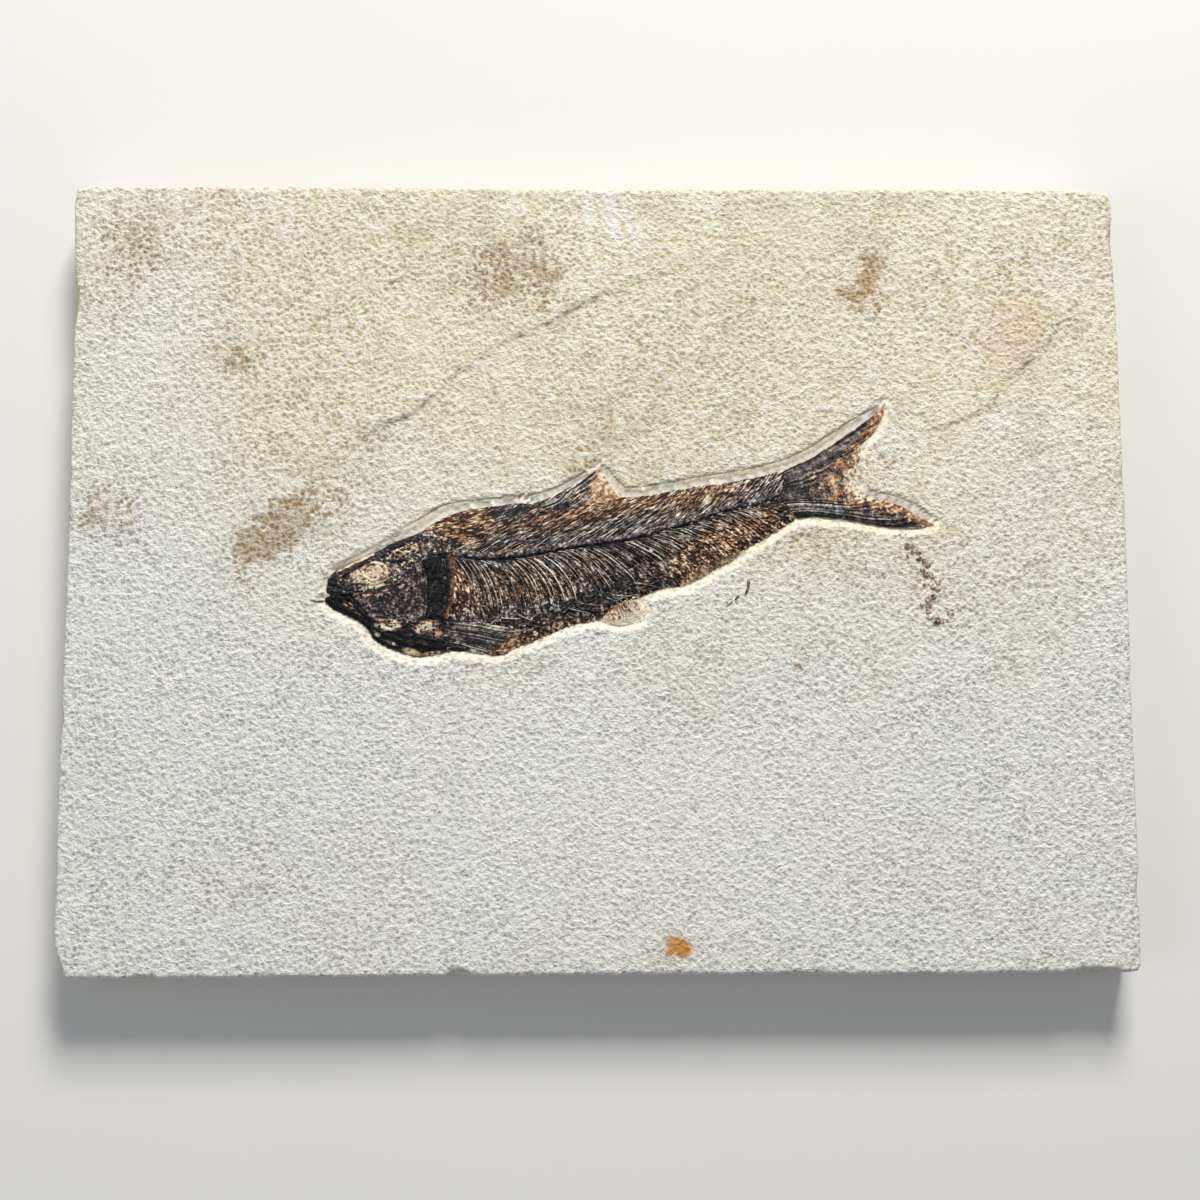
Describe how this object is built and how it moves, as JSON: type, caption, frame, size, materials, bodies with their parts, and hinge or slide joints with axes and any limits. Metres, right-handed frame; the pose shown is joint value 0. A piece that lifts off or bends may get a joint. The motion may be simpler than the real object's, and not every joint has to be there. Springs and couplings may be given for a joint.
{
  "type": "fossil fish slab",
  "caption": "Pale limestone slab lying on its back, with a dark fossil fish bedded in a shallow hand-cut recess. A decorative natural specimen for a shelf, stand or wall.",
  "frame": {"origin": "centre of the slab's outline, on the back face it lies on", "axes": "+X along the slab towards the fish's tail, +Y towards the slab's upper edge, +Z out of the face that holds the fish"},
  "size_m": [0.2206, 0.1648, 0.0128],
  "materials": {
    "limestone": "matt, natural grain",
    "scales": "satin, brown",
    "dark_bone": "satin, dark grey",
    "skull_bone": "satin, grey-brown",
    "cheek_bone": "satin, purple-brown",
    "black_bone": "glossy, blue-black",
    "fin_rays": "satin, grey",
    "pale_fin": "matt, amber",
    "dropping": "matt, grey-brown"
  },
  "bodies": {
    "root": {"slab": "limestone", "flank_scales": "scales", "backbone_ribs": "dark_bone", "skull": "skull_bone", "gill_cover": "cheek_bone", "lower_jaw": "black_bone", "shoulder_bone": "black_bone", "throat_bones": "black_bone", "dorsal_fin": "pale_fin", "pectoral_fin": "fin_rays", "pelvic_fin": "pale_fin", "anal_fin": "pale_fin", "tail_fin": "fin_rays", "dropping_trail": "dropping", "stray_spine": "dropping"}
  },
  "joints": []
}
